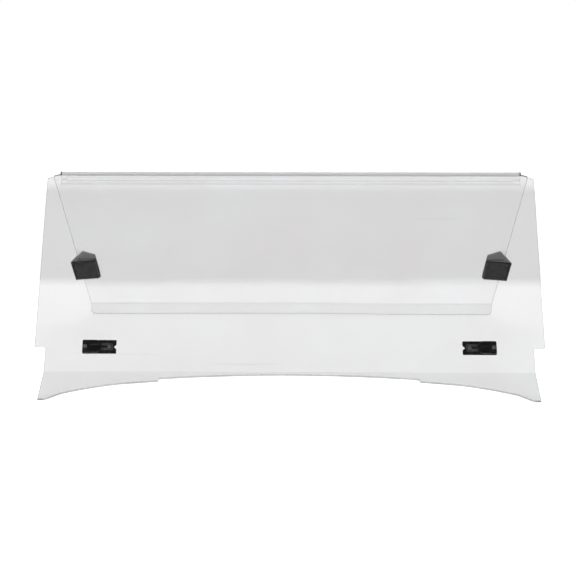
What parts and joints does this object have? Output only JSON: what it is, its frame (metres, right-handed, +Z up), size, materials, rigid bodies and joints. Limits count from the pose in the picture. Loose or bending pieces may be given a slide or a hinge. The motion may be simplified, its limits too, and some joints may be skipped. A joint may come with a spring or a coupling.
{
  "type": "sneeze guard",
  "caption": "Clear folding sneeze guard: two sheets hinged at the ridge, arched front skirt, rear lip, black edge brackets and slide latches.",
  "frame": {"origin": "centre of the resting plane, under the middle of the overall box", "axes": "+X along the ridge, +Y towards the rear shield, +Z up"},
  "size_m": [1.2094, 0.6986, 0.4763],
  "materials": {
    "clear_sheet": "clear polished sheet",
    "clear_hinge": "clear extruded, slightly hazy",
    "dark_plug": "moulded",
    "black_plastic": "fine moulded grain",
    "rubber": "matt",
    "steel": "plain",
    "black_steel": "blackened",
    "brass": "turned"
  },
  "bodies": {
    "front": {"front_shield": "clear_sheet", "hinge_socket": "clear_hinge", "hinge_plug_L": "dark_plug", "latch_base_L": "black_plastic", "latch_cover_L": "black_plastic", "latch_detent_L": "steel", "latch_backplate_L": "black_steel", "latch_screw_L1": "black_steel", "latch_nut_L1": "steel", "latch_screw_L2": "black_steel", "latch_nut_L2": "steel", "hinge_plug_R": "dark_plug", "latch_base_R": "black_plastic", "latch_cover_R": "black_plastic", "latch_detent_R": "steel", "latch_backplate_R": "black_steel", "latch_screw_R1": "black_steel", "latch_nut_R1": "steel", "latch_screw_R2": "black_steel", "latch_nut_R2": "steel"},
    "rear": {"rear_shield": "clear_sheet", "hinge_bead": "clear_hinge", "bracket_body_L": "black_plastic", "bracket_clamp_L": "black_plastic", "bracket_pad_L": "rubber", "bracket_screw_L1": "black_steel", "bracket_screw_L2": "black_steel", "bracket_insert_L1": "brass", "bracket_insert_L2": "brass", "bracket_body_R": "black_plastic", "bracket_clamp_R": "black_plastic", "bracket_pad_R": "rubber", "bracket_screw_R1": "black_steel", "bracket_screw_R2": "black_steel", "bracket_insert_R1": "brass", "bracket_insert_R2": "brass"},
    "tongue_L": {"latch_slider_L": "black_plastic"},
    "tongue_R": {"latch_slider_R": "black_plastic"}
  },
  "joints": [
    {"name": "ridge_hinge", "type": "hinge", "parent": "front", "child": "rear", "pos_m": [0, -0.0154, 0.471], "axis": [-1, 0, 0], "range_deg": [0, 64]},
    {"name": "latch_slide_L", "type": "slide", "parent": "front", "child": "tongue_L", "axis": [1, 0, 0], "range_m": [0, 0.014]},
    {"name": "latch_slide_R", "type": "slide", "parent": "front", "child": "tongue_R", "axis": [-1, 0, 0], "range_m": [0, 0.014]}
  ]
}
